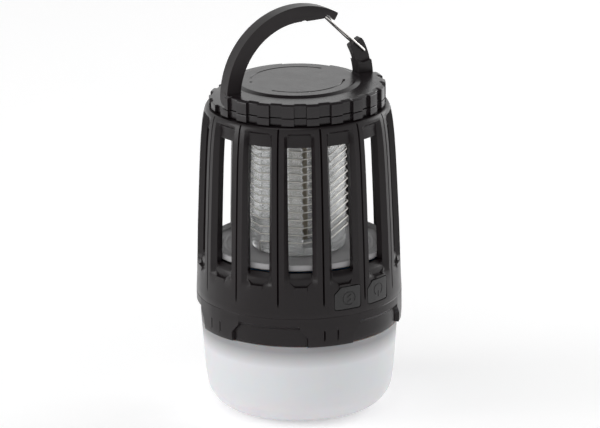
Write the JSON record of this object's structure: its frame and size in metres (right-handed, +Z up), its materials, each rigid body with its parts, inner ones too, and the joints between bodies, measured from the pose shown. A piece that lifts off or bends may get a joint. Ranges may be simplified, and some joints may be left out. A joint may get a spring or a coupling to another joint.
{
  "type": "electric insect zapper lantern",
  "caption": "Camping lantern with a slotted cage round an electric insect grid, a frosted lamp below, push buttons and a folding carabiner handle on a twist-off cap.",
  "frame": {"origin": "centre of the lamp's flat underside", "axes": "+Z up through the cap, X along the handle's axle with the hook's fixed foot on -X, the handle folds towards +Y"},
  "size_m": [0.09, 0.09, 0.1798],
  "materials": {
    "black_shell": "satin charcoal-black moulded ABS",
    "frosted_lamp": "milky translucent polycarbonate",
    "seal_rubber": "soft matt",
    "white_plastic": "plain white",
    "steel": "bright drawn spring steel",
    "grid_wire": "bare drawn wire",
    "tray_grey": "silver-grey satin",
    "clear_plastic": "clear polycarbonate",
    "circuit_board": "green solder mask",
    "lamp_board": "dark solder mask with a bare edge",
    "lamp_chip": "yellowish silicone over a ceramic chip",
    "switch_part": "plain black",
    "battery_wrap": "shrink wrap"
  },
  "bodies": {
    "lantern": {"lamp_diffuser": "frosted_lamp", "lamp_seal": "seal_rubber", "lamp_collar": "black_shell", "lamp_plate": "white_plastic", "lamp_led_board": "white_plastic", "case_screw_1": "steel", "case_screw_2": "steel", "case_screw_3": "steel", "case_screw_4": "steel", "housing_band": "black_shell", "cage_bar_01": "black_shell", "cage_bar_02": "black_shell", "cage_bar_03": "black_shell", "cage_bar_04": "black_shell", "cage_bar_05": "black_shell", "cage_bar_06": "black_shell", "cage_bar_07": "black_shell", "cage_bar_08": "black_shell", "cage_bar_09": "black_shell", "cage_bar_10": "black_shell", "cage_bar_11": "black_shell", "cage_bar_12": "black_shell", "cage_bar_13": "black_shell", "cage_bar_14": "black_shell", "housing_top_ring": "black_shell", "floor_tray": "tray_grey", "grid_bobbin": "clear_plastic", "grid_wire_live": "grid_wire", "grid_wire_return": "grid_wire", "uv_board": "lamp_board", "uv_led_1": "lamp_chip", "uv_led_2": "lamp_chip", "uv_led_3": "lamp_chip", "uv_led_4": "lamp_chip", "cap_neck": "black_shell", "switch_zap": "switch_part", "switch_lamp": "switch_part", "switch_board": "circuit_board", "main_board": "circuit_board", "board_screw_1": "steel", "board_screw_2": "steel", "hv_module": "switch_part", "charge_port": "steel", "battery": "battery_wrap", "battery_cradle": "white_plastic"},
    "cap": {"top_cap": "black_shell"},
    "handle": {"handle_arm": "black_shell", "handle_post": "black_shell", "handle_axle": "steel"},
    "gate": {"gate_wire": "steel"},
    "zap_button": {"button_zap": "black_shell", "plunger_zap": "switch_part"},
    "lamp_button": {"button_lamp": "black_shell", "plunger_lamp": "switch_part"},
    "port_flap": {"port_cover": "seal_rubber"}
  },
  "joints": [
    {"name": "cap_turn", "type": "hinge", "parent": "lantern", "child": "cap", "pos_m": [0, 0, 0.1399], "axis": [0, 0, 1], "range_deg": [0, 25]},
    {"name": "handle_fold", "type": "hinge", "parent": "cap", "child": "handle", "pos_m": [0, 0, 0.1432], "axis": [-1, 0, 0], "range_deg": [0, 90]},
    {"name": "gate_swing", "type": "hinge", "parent": "handle", "child": "gate", "pos_m": [0.0326, 0, 0.15539], "axis": [0, -1, 0], "range_deg": [0, 14], "stiffness_Nm_per_rad": 0.05},
    {"name": "zap_press", "type": "slide", "parent": "lantern", "child": "zap_button", "axis": [-0.1564, 0.9877, 0], "range_m": [0, 0.0008], "stiffness_N_per_m": 1500},
    {"name": "lamp_press", "type": "slide", "parent": "lantern", "child": "lamp_button", "axis": [-0.1564, 0.9877, 0], "range_m": [0, 0.0008], "stiffness_N_per_m": 1500},
    {"name": "port_flap_open", "type": "hinge", "parent": "lantern", "child": "port_flap", "pos_m": [-0.007, 0.0442, 0.0549], "axis": [-0.9877, -0.1564, 0], "range_deg": [0, 100]}
  ]
}
